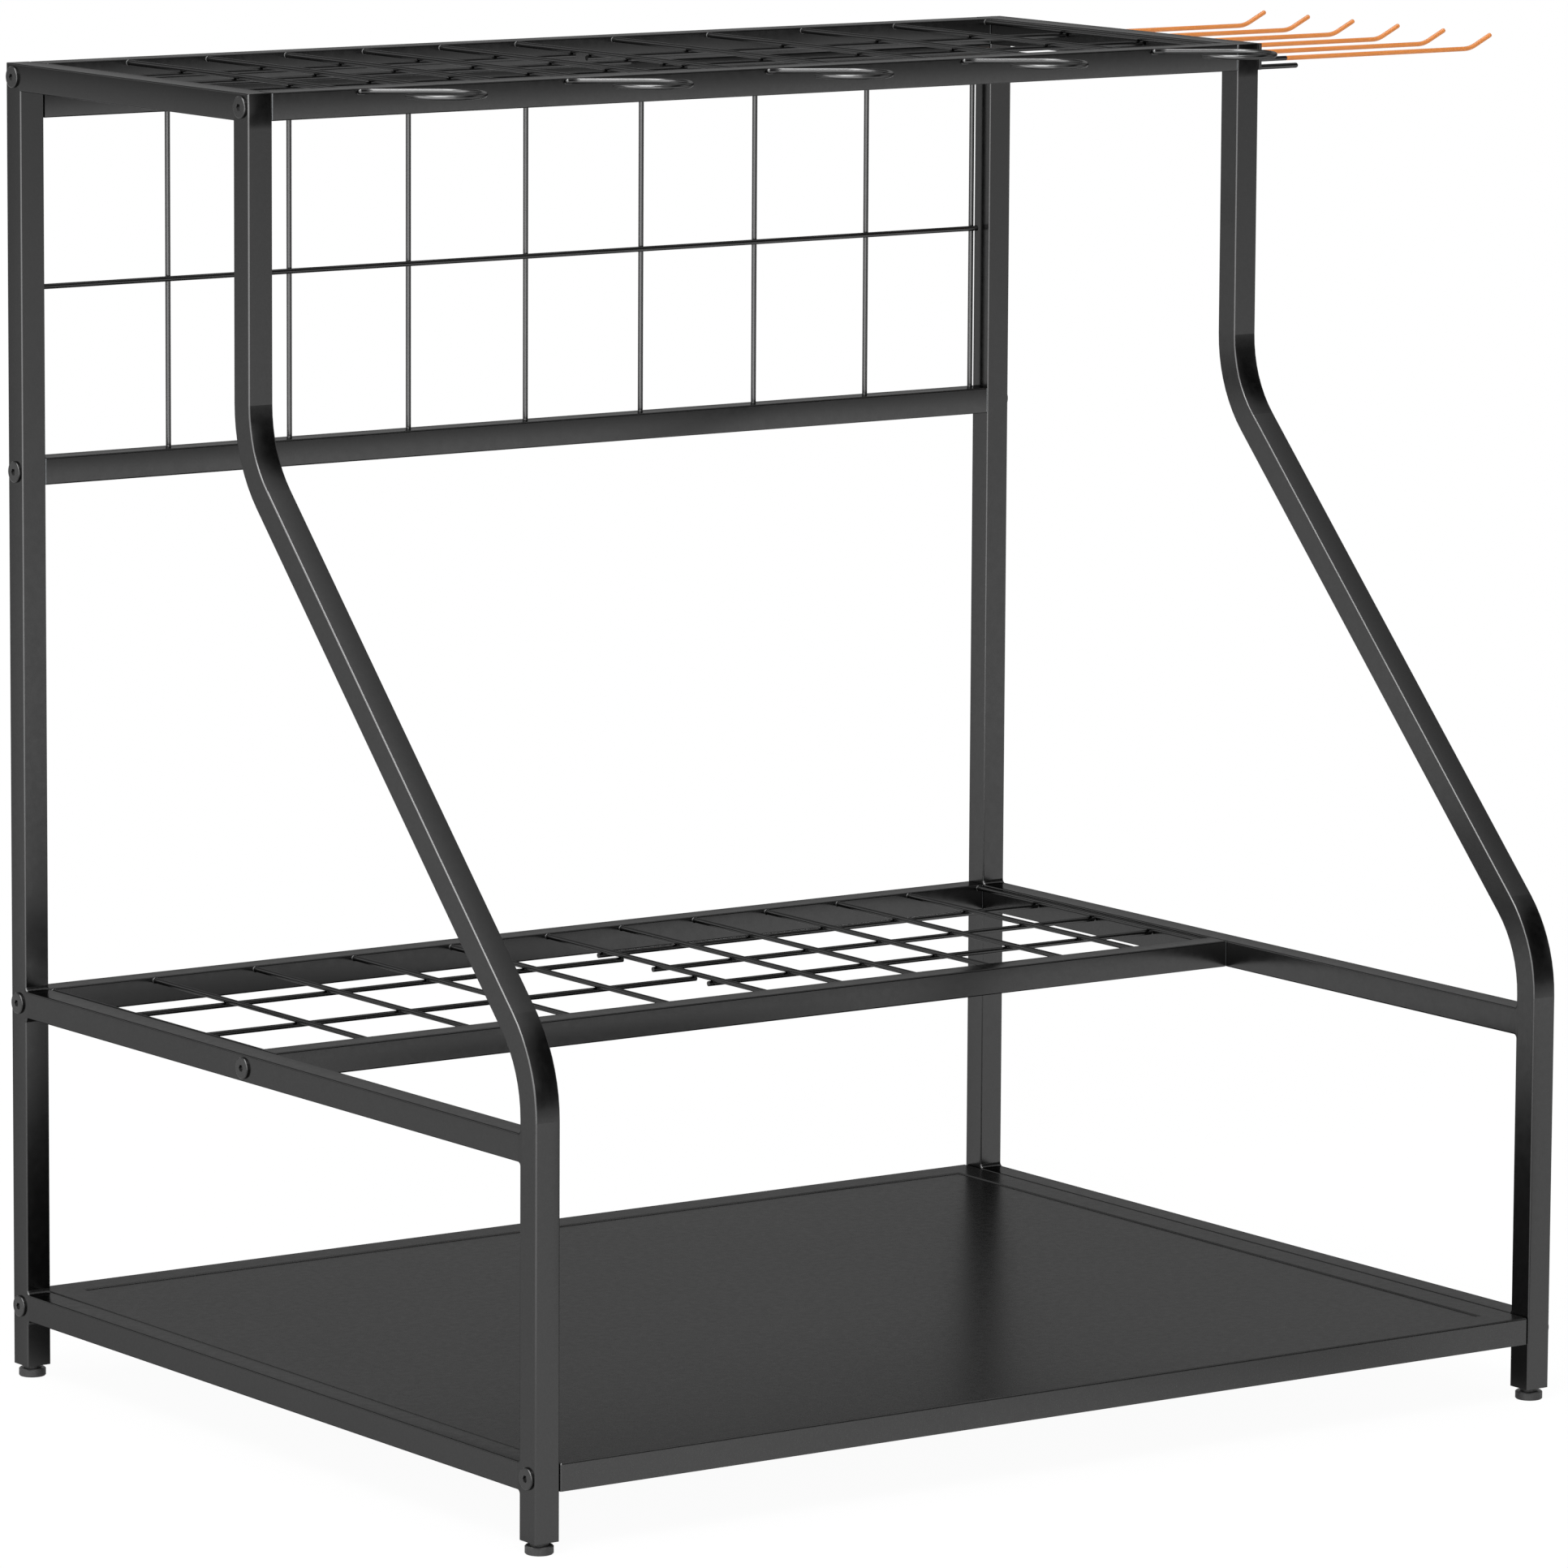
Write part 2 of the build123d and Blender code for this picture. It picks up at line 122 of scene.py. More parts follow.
def linear(code: str) -> tuple[float, float, float, float]:
    """Turns an sRGB hex colour into Blender's linear colour.

    Args:
        code: colour such as "#474747".

    Returns:
        Linear red, green and blue, with alpha 1.
    """
    channels = [int(code[i : i + 2], 16) / CHANNEL_TOP for i in (1, 3, 5)]
    flat = [
        c / SRGB_SLOPE if c <= SRGB_STRAIGHT_END else ((c + SRGB_OFFSET) / (1 + SRGB_OFFSET)) ** SRGB_POWER
        for c in channels
    ]
    return flat[0], flat[1], flat[2], 1.0


def add_node(
    tree: Tree, kind: str, inputs: dict[str | int, object] | None = None, **settings: object
) -> Node:
    """Adds one node with its settings and its inputs.

    Args:
        tree: node tree that gets the node.
        kind: Blender's node type name, without the "ShaderNode" before it.
        inputs: fixed values, or sockets to link, by input name or index.
        **settings: node properties to set.

    Returns:
        The new node.
    """
    node = tree.nodes.new(f"ShaderNode{kind}")
    for key, value in settings.items():
        setattr(node, key, value)
    for key, value in (inputs or {}).items():
        if isinstance(value, Socket):
            tree.links.new(value, node.inputs[key])
        else:
            node.inputs[key].default_value = value
    return node


def add_math(tree: Tree, operation: str, *values: float | Socket, clamp: bool = False) -> Socket:
    """Adds a math node with its operands, and gives its result, held between 0 and 1 if asked."""
    inputs = dict(enumerate(values))
    return add_node(tree, "Math", inputs, operation=operation, use_clamp=clamp).outputs[0]


def add_vector_math(tree: Tree, operation: str, *values: list[float] | Socket) -> Socket:
    """Adds a vector math node with its operands, and gives its result."""
    return add_node(tree, "VectorMath", dict(enumerate(values)), operation=operation).outputs[0]


def map_range(
    tree: Tree,
    value: Socket,
    span: tuple[float, float],
    result: tuple[float, float] = (0.0, 1.0),
    smooth: bool = False,
) -> Socket:
    """Maps one span of values to another and holds the ends.

    Args:
        tree: node tree that gets the node.
        value: socket with the values.
        span: start and end of the values.
        result: what start and end become.
        smooth: whether the ends are eased.

    Returns:
        The socket with the mapped values.
    """
    names = ("From Min", "From Max", "To Min", "To Max")
    inputs = {"Value": value, **dict(zip(names, (*span, *result)))}
    easing = "SMOOTHSTEP" if smooth else "LINEAR"
    return add_node(tree, "MapRange", inputs, interpolation_type=easing).outputs[0]


def blend(tree: Tree, share: Socket, first: object, second: object, kind: str = "RGBA") -> Socket:
    """Mixes two colours, or two numbers of another kind, by the share of the second one."""
    inputs = {"Factor": share, "A": first, "B": second}
    return add_node(tree, "Mix", inputs, data_type=kind).outputs["Result"]


def add_noise(tree: Tree, place: Socket, size_mm: float, detail: float, roughness: float = 0.5) -> Socket:
    """Adds a noise texture at the given places, with spots of the given size."""
    inputs = {"Vector": place, "Scale": 1 / (size_mm * MM), "Detail": detail, "Roughness": roughness}
    return add_node(tree, "TexNoise", inputs).outputs[0]


def set_ramp(node: Node, stops: list[tuple[float, tuple[float, float, float, float]]]) -> None:
    """Sets the stops of a colour ramp node.

    Args:
        node: colour ramp node with its two first stops.
        stops: positions and linear colours, in rising order.
    """
    ramp = node.color_ramp
    while len(ramp.elements) < len(stops):
        # Any place will do here, because the next loop sets it.
        ramp.elements.new(0.5)
    for element, (place, colour) in zip(ramp.elements, stops):
        element.position = place
        element.color = colour


def start_tree(owner: Material | bpy.types.World) -> Tree:
    """Gives a material or a world an empty node tree.

    Args:
        owner: the material or world.

    Returns:
        Its empty tree.
    """
    owner.use_nodes = True
    owner.node_tree.nodes.clear()
    return owner.node_tree


def new_material(name: str) -> tuple[Material, Tree]:
    """Starts a node material, and gives it with its empty tree."""
    material = bpy.data.materials.new(name)
    return material, start_tree(material)


def add_shader(tree: Tree, colour: Socket, matt: Socket, bump: Node, values: dict[str, object]) -> None:
    """Ends a material with its Principled shader.

    Args:
        tree: the material's node tree.
        colour: socket with the colour.
        matt: socket with the roughness.
        bump: node that gives the relief.
        values: other inputs of the shader by name.
    """
    inputs = {"Base Color": colour, "Roughness": matt, "Normal": bump.outputs[0], **values}
    shader = add_node(tree, "BsdfPrincipled", inputs)
    add_node(tree, "OutputMaterial", {"Surface": shader.outputs["BSDF"]})


def lean_normal(tree: Tree, shape: Node, amount: Socket) -> Socket:
    """Leans the normal of a geometry node along each axis by the given amount."""
    return add_vector_math(tree, "NORMALIZE", add_vector_math(tree, "ADD", shape.outputs["Normal"], amount))


def straight_rays(tree: Tree, path: Node) -> Socket:
    """Gives 1 for rays of a light path that come from the camera, or through something clear."""
    return add_math(tree, "MAXIMUM", path.outputs["Is Camera Ray"], path.outputs["Is Transmission Ray"])


@dataclass(frozen=True)
class PowderCoat:
    """Satin black powder coat with graphite pigment, sprayed dry and baked on steel.

    The baked powder flows into a fine orange peel. It mirrors the room dimly, like a dark metal, so a face is
    grey where it mirrors the pale studio and nearly black where it mirrors the rack itself.
    """

    name: str
    tone: str = "#525252"
    fleck: str = "#4d4d4d"
    edge_tint: str = "#a4a4a4"
    roughness: float = 0.21
    roughness_spread: float = 0.025
    metallic: float = 1.0
    # Real grit is about 0.3 mm; it is drawn coarser so that it shows in a picture of the whole rack.
    grit_mm: float = 1.5
    peel_mm: float = 6.0
    cloud_mm: float = 140.0
    relief_mm: float = 0.006
    # Detail and roughness of the noise for grit, peel and cloud.
    noise_forms: tuple[tuple[float, float], ...] = ((2.0, 0.6), (2.0, 0.5), (3.0, 0.5))
    # How much of the fleck's colour grit and cloud bring, and how high the grit stands beside the peel.
    grit_fleck: float = 0.7
    cloud_fleck: float = 0.3
    grit_height: float = 0.5
    # Rolled tube has slightly crowned faces: the slope at a face's edges, and the axes across the tube.
    crown_slope: float = 0.05
    crown_axes: tuple[float, float, float] | None = None
    # A bent post's front face is crowned more about its middle, and rolls back toward its cut top end.
    post_middle_mm: float | None = None
    post_top_mm: float = 0.0
    post_half_mm: float = 10.0
    crown_slope_per_mm: float = 0.009
    roll_length_mm: float = 27.0
    roll_slope: float = 0.36
    # The Y of a face's direction at which it starts to count as a front face, and at which it fully does.
    front_start: float = -0.4
    front_full: float = -0.6

    def crowned_normal(self, tree: Tree, place: Socket) -> Socket:
        """Crowns the faces of a straight tube.

        Args:
            tree: the material's node tree.
            place: places across the piece's own box, from 0 to 1.

        Returns:
            The socket with the changed normal.
        """
        gain = [2 * self.crown_slope * axis for axis in self.crown_axes]
        amount = add_vector_math(tree, "MULTIPLY_ADD", place, gain, [-g / 2 for g in gain])
        return lean_normal(tree, add_node(tree, "NewGeometry"), amount)

    def post_normal(self, tree: Tree) -> Socket:
        """Crowns the front face of a bent post and leans it back near the top end.

        Args:
            tree: the material's node tree.

        Returns:
            The socket with the changed normal.
        """
        shape = add_node(tree, "NewGeometry")
        place = add_node(tree, "SeparateXYZ", {0: shape.outputs["Position"]})
        facing = add_node(tree, "SeparateXYZ", {0: shape.outputs["Normal"]})
        front = map_range(tree, facing.outputs["Y"], (self.front_start, self.front_full))
        left = (self.post_middle_mm - self.post_half_mm) * MM
        right = (self.post_middle_mm + self.post_half_mm) * MM
        slope = self.post_half_mm * self.crown_slope_per_mm
        crown = map_range(tree, place.outputs["X"], (left, right), (-slope, slope))
        start = (self.post_top_mm - self.roll_length_mm) * MM
        roll = map_range(tree, place.outputs["Z"], (start, self.post_top_mm * MM), (0.0, self.roll_slope))
        tilt = add_node(tree, "CombineXYZ", {"X": crown, "Z": roll}).outputs[0]
        return lean_normal(tree, shape, add_vector_math(tree, "MULTIPLY", tilt, front))

    def build(self) -> Material:
        """Makes the coat's material.

        Returns:
            The finished material.
        """
        material, tree = new_material(self.name)
        coords = add_node(tree, "TexCoord")
        grain_sizes = (self.grit_mm, self.peel_mm, self.cloud_mm)
        grit, peel, cloud = (
            add_noise(tree, coords.outputs["Object"], size, *form)
            for size, form in zip(grain_sizes, self.noise_forms)
        )
        speckle = map_range(tree, grit, NOISE_SPAN, (0.0, self.grit_fleck))
        shading = map_range(tree, cloud, NOISE_SPAN, (0.0, self.cloud_fleck))
        both = add_math(tree, "ADD", speckle, shading, clamp=True)
        colour = blend(tree, both, linear(self.tone), linear(self.fleck))
        limits = (self.roughness - self.roughness_spread, self.roughness + self.roughness_spread)
        matt = map_range(tree, peel, NOISE_SPAN, limits)
        height = add_math(tree, "MULTIPLY_ADD", grit, self.grit_height, peel)
        relief = {"Distance": self.relief_mm * MM, "Height": height}
        if self.post_middle_mm is not None:
            relief["Normal"] = self.post_normal(tree)
        elif self.crown_axes is not None:
            relief["Normal"] = self.crowned_normal(tree, coords.outputs["Generated"])
        bump = add_node(tree, "Bump", relief)
        values = {"Metallic": self.metallic, "Specular Tint": linear(self.edge_tint)}
        add_shader(tree, colour, matt, bump, values)
        return material


@dataclass(frozen=True)
class CloudyFinish:
    """A finish of slightly cloudy colour, with a fine grain in its gloss and its relief."""

    name: str
    tone: str
    shade: str
    roughness: float
    roughness_spread: float
    cloud_mm: float
    grain_mm: float
    grain_detail: float
    relief_mm: float
    cloud_detail: float = 3.0
    metallic: float = 0.0
    ior: float = 1.5

    def build(self) -> Material:
        """Makes the finish's material.

        Returns:
            The finished material.
        """
        material, tree = new_material(self.name)
        place = add_node(tree, "TexCoord").outputs["Object"]
        cloud = add_noise(tree, place, self.cloud_mm, self.cloud_detail)
        grain = add_noise(tree, place, self.grain_mm, self.grain_detail)
        colour = blend(tree, cloud, linear(self.tone), linear(self.shade))
        limits = (self.roughness - self.roughness_spread, self.roughness + self.roughness_spread)
        matt = map_range(tree, grain, (0.0, 1.0), limits)
        bump = add_node(tree, "Bump", {"Distance": self.relief_mm * MM, "Height": grain})
        add_shader(tree, colour, matt, bump, {"Metallic": self.metallic, "IOR": self.ior})
        return material


@dataclass(frozen=True)
class DippedVinyl(CloudyFinish):
    """Orange vinyl sleeve, dipped warm over the hook wire: satin, a little cloudy, with a soft highlight."""

    name: str = "orange_dipped_vinyl"
    tone: str = "#e68f45"
    shade: str = "#da8238"
    roughness: float = 0.42
    roughness_spread: float = 0.06
    cloud_mm: float = 9.0
    # Real vinyl has a grain of about 0.3 mm; it is drawn coarser so that it shows.
    grain_mm: float = 1.2
    grain_detail: float = 1.0
    relief_mm: float = 0.01
    ior: float = 1.53


@dataclass(frozen=True)
class PlatedSteel(CloudyFinish):
    """Plated steel fastener, forged, turned and dipped: faintly cloudy plating over fine turning marks."""

    roughness: float = 0.28
    roughness_spread: float = 0.08
    cloud_mm: float = 5.0
    # Real turning marks are about 0.2 mm apart; they are drawn coarser so that they show.
    grain_mm: float = 0.9
    grain_detail: float = 2.0
    relief_mm: float = 0.008
    metallic: float = 1.0


@dataclass(frozen=True)
class MouldedNylon:
    """Black nylon of the levelling feet, moulded in a spark-eroded tool: matt with a fine grain."""

    name: str = "black_moulded_nylon"
    tone: str = "#3a3a3a"
    shade: str = "#2c2c2c"
    roughness_in_grain: float = 0.4
    roughness_on_grain: float = 0.55
    ior: float = 1.53
    # Real spark erosion leaves a grain of about 0.1 mm; it is drawn coarser so that it shows.
    grain_mm: float = 1.1
    relief_mm: float = 0.03

    def build(self) -> Material:
        """Makes the foot's material.

        Returns:
            The finished material.
        """
        material, tree = new_material(self.name)
        place = add_node(tree, "TexCoord").outputs["Object"]
        cells = add_node(tree, "TexVoronoi", {"Vector": place, "Scale": 1 / (self.grain_mm * MM)})
        grain = cells.outputs["Distance"]
        colour = blend(tree, grain, linear(self.tone), linear(self.shade))
        matt = map_range(tree, grain, (0.0, 1.0), (self.roughness_in_grain, self.roughness_on_grain))
        bump = add_node(tree, "Bump", {"Distance": self.relief_mm * MM, "Height": grain})
        add_shader(tree, colour, matt, bump, {"IOR": self.ior})
        return material


@dataclass
class FinishBook:
    """All the finishes of the rack, each made once."""

    coats: dict[Coat, Material] = field(default_factory=dict)
    sleeve: Material | None = None
    bolt: Material | None = None
    zinc: Material | None = None
    foot: Material | None = None

    def make(self, sizes: "RackSizes") -> "FinishBook":
        """Makes every material.

        Args:
            sizes: the rack's sizes, for the posts' top ends.

        Returns:
            The book itself.
        """
        across = {Coat.CROSS_TUBE: (0, 1, 1), Coat.DEPTH_TUBE: (1, 0, 1), Coat.UPRIGHT_TUBE: (1, 1, 0)}
        for coat, axes in across.items():
            self.coats[coat] = PowderCoat(f"black_powder_coat_{coat.value}", crown_axes=axes).build()
        for side, coat in ((Side.LEFT, Coat.LEFT_POST), (Side.RIGHT, Coat.RIGHT_POST)):
            middle = sizes.frame_x + side.value * (sizes.width - sizes.tube) / 2
            name = f"black_powder_coat_{coat.value}"
            self.coats[coat] = PowderCoat(name, post_middle_mm=middle, post_top_mm=sizes.height).build()
        # The wide sheet takes the powder a little thicker, which softens what it mirrors.
        self.coats[Coat.SHEET] = PowderCoat(
            "black_powder_coat_sheet",
            tone="#545454",
            fleck="#4f4f4f",
            edge_tint="#a1a1a1",
            roughness=0.28,
            metallic=0.95,
        ).build()
        self.coats[Coat.WIRE] = PowderCoat("black_powder_coat_wire", roughness=0.22).build()
        self.sleeve = DippedVinyl().build()
        # Black plating keeps a dark, cloudy sheen, and zinc is pale grey and more matt.
        self.bolt = PlatedSteel("black_plated_bolt_steel", "#4a4a4a", "#414141").build()
        self.zinc = PlatedSteel("zinc_plated_steel", "#b9bbbd", "#a3a6a8", roughness=0.36).build()
        self.foot = MouldedNylon().build()
        return self


def dress(frame: dict, node: str, material: Material) -> None:
    """Gives one CAD node its finish.

    Args:
        frame: loaded frame with its nodes.
        node: CAD node name.
        material: finish for every slot of the node.
    """
    piece = frame["nodes"][node]
    if not piece.material_slots:
        piece.data.materials.append(material)
    for place in piece.material_slots:
        place.material = material
    LOG.info("node %s: %s", node, material.name)


@dataclass
class MeshSheet:
    """A growing list of vertices and faces that becomes one piece."""

    points: list[Vector] = field(default_factory=list)
    faces: list[tuple[int, ...]] = field(default_factory=list)
    sharp_deg: float = 40.0

    def add_rings(self, rings: list[list[Vector]], closed: bool, capped: bool) -> None:
        """Adds a skin over rings of points.

        Args:
            rings: rings with the same number of points.
            closed: whether each ring closes on itself.
            capped: whether the two end rings get a face.
        """
        start = len(self.points)
        count = len(rings[0])
        for ring in rings:
            self.points.extend(ring)
        steps = count if closed else count - 1
        for row in range(len(rings) - 1):
            base = start + row * count
            for i in range(steps):
                j = (i + 1) % count
                self.faces.append((base + i, base + j, base + count + j, base + count + i))
        if capped:
            last = start + (len(rings) - 1) * count
            self.faces.append(tuple(start + i for i in reversed(range(count))))
            self.faces.append(tuple(last + i for i in range(count)))

    def finish(self, name: str, body: str, material: Material) -> bpy.types.Object:
        """Turns the sheet into a smooth piece that rides on a body.

        Args:
            name: piece name.
            body: CAD body the piece moves with.
            material: finish of the piece.

        Returns:
            The new object.
        """
        mesh = bpy.data.meshes.new(name)
        mesh.from_pydata([tuple(p) for p in self.points], [], self.faces)
        work = bmesh.new()
        work.from_mesh(mesh)
        bmesh.ops.recalc_face_normals(work, faces=work.faces)
        work.to_mesh(mesh)
        work.free()
        mesh.shade_smooth()
        mesh.set_sharp_from_angle(angle=math.radians(self.sharp_deg))
        mesh.materials.append(material)
        piece = bpy.data.objects.new(name, mesh)
        bpy.context.scene.collection.objects.link(piece)
        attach(piece, body)
        LOG.info("piece %s: %d faces on %s", name, len(mesh.polygons), body)
        return piece


@dataclass
class WeldBead:
    """A fillet weld in the inner corner between two steel faces, with its run of fine ripples."""

    leg: float
    ripple_pitch: float = 1.6
    ripple_share: float = 0.05
    sink: float = 0.3
    rings: int = 16
    arc_points: int = 8
    # The bead thins out over its ends: the power of that curve, and the least it leaves.
    end_power: int = 6
    end_least: float = 0.04

    def lay(
        self, sheet: MeshSheet, corner: Vector, along: Vector, up: Vector, out: Vector, length: float
    ) -> None:
        """Lays one bead along a corner.

        Args:
            sheet: mesh that receives the bead.
            corner: middle of the corner line, in millimetres.
            along: unit direction of the corner line.
            up: unit direction up the first face.
            out: unit direction along the second face.
            length: length of the bead.
        """
        rings = []
        for k in range(self.rings + 1):
            t = k / self.rings
            run = (t - 0.5) * length
            fade = math.sqrt(max(self.end_least, 1 - abs(2 * t - 1) ** self.end_power))
            leg = self.leg * fade * (1 + self.ripple_share * math.sin(2 * math.pi * run / self.ripple_pitch))
            base = corner + along * run
            ring = [base - up * self.sink - out * self.sink]
            for i in range(self.arc_points + 1):
                turn = math.pi / 2 * i / self.arc_points
                ring.append(base + out * (leg - leg * math.sin(turn)) + up * (leg - leg * math.cos(turn)))
            rings.append([p * MM for p in ring])
        sheet.add_rings(rings, closed=True, capped=True)


@dataclass
class TeeWeld:
    """The ground weld of a rail on a post: hollow fillets above and below, flush with both side faces."""

    tube: float
    corner: float
    leg: float = 3.4
    proud: float = 0.012
    depth: float = 2.2
    ripple_share: float = 0.02
    ripple_rate: float = 2.6
    flat_steps: int = 12
    round_steps: int = 5
    arc_points: int = 8

    def stations(self) -> list[tuple[float, float]]:
        """Gives places across the joint with how far the tubes' corners fall away there.

        Returns:
            Pairs of the place from the middle and the fall, in millimetres.
        """
        half = self.tube / 2 + self.proud
        flat = half - self.corner
        rounded = []
        for i in range(1, self.round_steps + 1):
            turn = math.pi / 2 * i / self.round_steps
            rounded.append((flat + self.corner * math.sin(turn), self.corner * (1 - math.cos(turn))))
        level = [(-flat + 2 * flat * i / self.flat_steps, 0.0) for i in range(self.flat_steps + 1)]
        return [(-x, fall) for x, fall in reversed(rounded)] + level + rounded

    def lay(self, sheet: MeshSheet, corner: Vector, end: End) -> None:
        """Fills one joint.

        Args:
            sheet: mesh that receives the weld.
            corner: middle of the upper corner between rail and post, in millimetres.
            end: end of the side frame that the post stands at.
        """
        inward = -end.value
        rings = []
        for x, fall in self.stations():
            leg = self.leg * (1 + self.ripple_share * math.sin(self.ripple_rate * x))
            upper = [(-self.depth, leg - fall)]
            for i in range(self.arc_points + 1):
                turn = math.pi / 2 * i / self.arc_points
                upper.append((leg * (1 - math.cos(turn)) - fall, leg * (1 - math.sin(turn)) - fall))
            lower = [(y, -self.tube - z) for y, z in reversed(upper)]
            rings.append([(corner + Vector((x, inward * y, z))) * MM for y, z in upper + lower])
        sheet.add_rings(rings, closed=True, capped=True)


@dataclass
class WeldCollar:
    """The little skirt of weld round a wire where it ends on a steel face."""

    wire_radius: float
    leg: float = 0.6
    clearance: float = 0.02
    # Hand welding leaves the skirt a little uneven: how much, how often round it, and how it shifts along X.
    lump_share: float = 0.05
    lumps: int = 3
    lump_shift: float = 2.0
    sides: int = 20
    steps: int = 5

    def lay(self, sheet: MeshSheet, foot: Vector, axis: Vector, ceiling: float | None = None) -> None:
        """Lays one skirt.

        Args:
            sheet: mesh that receives the skirt.
            foot: point where the wire's axis meets the face, in millimetres.
            axis: unit direction of the wire, away from the face.
            ceiling: height that the skirt stays under, where its face ends above it.
        """
        side = axis.orthogonal().normalized()
        other = axis.cross(side)
        rings = []
        for k in range(self.steps + 1):
            height = self.leg * k / self.steps
            gap = self.leg - height
            hollow = math.sqrt(max(0.0, self.leg**2 - gap**2))
            radius = self.wire_radius + self.leg - hollow + self.clearance
            ring = []
            for i in range(self.sides):
                turn = 2 * math.pi * i / self.sides
                lump = 1 + self.lump_share * math.sin(self.lumps * turn + self.lump_shift * foot.x)
                spread = self.wire_radius + (radius - self.wire_radius) * lump
                point = foot + axis * height + side * (spread * math.cos(turn))
                point += other * (spread * math.sin(turn))
                if ceiling is not None and point.z > ceiling:
                    point.z = ceiling
                ring.append(point * MM)
            rings.append(ring)
        sheet.add_rings(rings, closed=True, capped=False)


@dataclass
class RackSizes:
    """The rack's driving sizes in millimetres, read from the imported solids."""

    frame_x: float
    width: float
    height: float
    base_depth: float
    top_depth: float
    tube: float
    wire: float
    bottom_rail: float
    middle_rail: float
    panel_rail: float
    tube_corner: float = 1.2
    grid_split: float = 15.7
    grid_end_inset: float = 4.55
    wire_drop: float = 0.5

    @classmethod
    def read(cls) -> "RackSizes":
        """Reads the sizes from the boxes of the CAD nodes.

        Returns:
            The rack's sizes.
        """
        left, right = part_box("left_rear_post"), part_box("right_rear_post")
        front_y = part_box("left_front_post")[0].y
        rear_y = left[1].y
        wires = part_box("top_grid_depth_wires")
        return cls(
            frame_x=(left[0].x + right[1].x) / 2 / MM,
            width=(right[1].x - left[0].x) / MM,
            height=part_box("left_top_rail")[1].z / MM,
            base_depth=(rear_y - front_y) / MM,
            top_depth=(rear_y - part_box("top_grid_front_rail")[0].y) / MM,
            tube=(left[1].x - left[0].x) / MM,
            wire=(wires[1].z - wires[0].z) / MM,
            bottom_rail=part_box("left_bottom_rail")[0].z / MM,
            middle_rail=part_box("left_middle_rail")[0].z / MM,
            panel_rail=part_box("back_panel_bottom_rail")[0].z / MM,
        )

    @property
    def rear(self) -> float:
        """Y of the rear faces."""
        return self.base_depth / 2

    @property
    def top_front(self) -> float:
        """Y of the front face of the top."""
        return self.rear - self.top_depth

    @property
    def inner_half(self) -> float:
        """Half of the clear width between the side frames."""
        return self.width / 2 - self.tube

    def at(self, x: float, y: float, z: float) -> Vector:
        """Gives a point from the frame's own middle, in millimetres."""
        return Vector((self.frame_x + x, y, z))


@dataclass
class SideFrame:
    """One side frame: two posts, three rails and the welds of the two lower rails."""

    side: Side
    sizes: RackSizes
    rails: tuple[str, ...] = ("top_rail", "middle_rail", "bottom_rail")

    def dress(self, frame: dict, book: FinishBook) -> None:
        """Coats the five tubes.

        Args:
            frame: loaded frame.
            book: finishes.
        """
        for rail in self.rails:
            dress(frame, f"{self.side.word}_{rail}", book.coats[Coat.DEPTH_TUBE])
        dress(frame, f"{self.side.word}_rear_post", book.coats[Coat.UPRIGHT_TUBE])
        dress(frame, f"{self.side.word}_front_post", book.coats[Coat[f"{self.side.name}_POST"]])

    def build(self, book: FinishBook) -> bpy.types.Object:
        """Fills the joints where the middle and bottom rails meet the posts.

        Args:
            book: finishes.

        Returns:
            The weld piece.
        """
        sheet = MeshSheet()
        joint = TeeWeld(self.sizes.tube, self.sizes.tube_corner)
        x = self.side.value * (self.sizes.width - self.sizes.tube) / 2
        for low in (self.sizes.middle_rail, self.sizes.bottom_rail):
            for end in End:
                y = end.value * (self.sizes.base_depth / 2 - self.sizes.tube)
                joint.lay(sheet, self.sizes.at(x, y, low + self.sizes.tube), end)
        return sheet.finish(f"{self.side.word}_frame_welds", "rack", book.coats[Coat.WIRE])


@dataclass
class WireGrid:
    """A wire grid between two cross rails, with small cells in one half and large cells in the other."""

    name: str
    small_side: Side
    top: float
    sizes: RackSizes
    small_columns: int = 6
    large_columns: int = 5
    skirt_below_top: float = 0.2
    parts: tuple[str, ...] = ("depth_wires", "small_cell_wires", "large_cell_wires")

    def columns(self) -> list[float]:
        """Finds the front-to-back wires.

        Returns:
            The X of each wire from the frame's middle.
        """
        end = self.sizes.inner_half - self.sizes.grid_end_inset
        split = -self.sizes.grid_split
        small = (split + end) / self.small_columns
        large = (end - split) / self.large_columns
        places = [-end + i * small for i in range(self.small_columns + 1)]
        places += [split + (i + 1) * large for i in range(self.large_columns)]
        return [-self.small_side.value * x for x in places]

    def dress(self, frame: dict, book: FinishBook) -> None:
        """Coats the rails and the wires.

        Args:
            frame: loaded frame.
            book: finishes.
        """
        for rail in ("front_rail", "rear_rail"):
            dress(frame, f"{self.name}_{rail}", book.coats[Coat.CROSS_TUBE])
        for part in self.parts:
            dress(frame, f"{self.name}_{part}", book.coats[Coat.WIRE])

    def build(self, book: FinishBook) -> bpy.types.Object:
        """Lays a weld skirt round both ends of every front-to-back wire.

        Args:
            book: finishes.

        Returns:
            The weld piece.
        """
        sheet = MeshSheet()
        collar = WeldCollar(self.sizes.wire / 2)
        z = self.top - self.sizes.wire_drop - self.sizes.wire / 2
        front = self.sizes.top_front + self.sizes.tube
        rear = self.sizes.rear - self.sizes.tube
        ceiling = self.top - self.skirt_below_top
        for x in self.columns():
            collar.lay(sheet, self.sizes.at(x, front, z), Vector((0, 1, 0)), ceiling)
            collar.lay(sheet, self.sizes.at(x, rear, z), Vector((0, -1, 0)), ceiling)
        return sheet.finish(f"{self.name}_wire_welds", "rack", book.coats[Coat.WIRE])


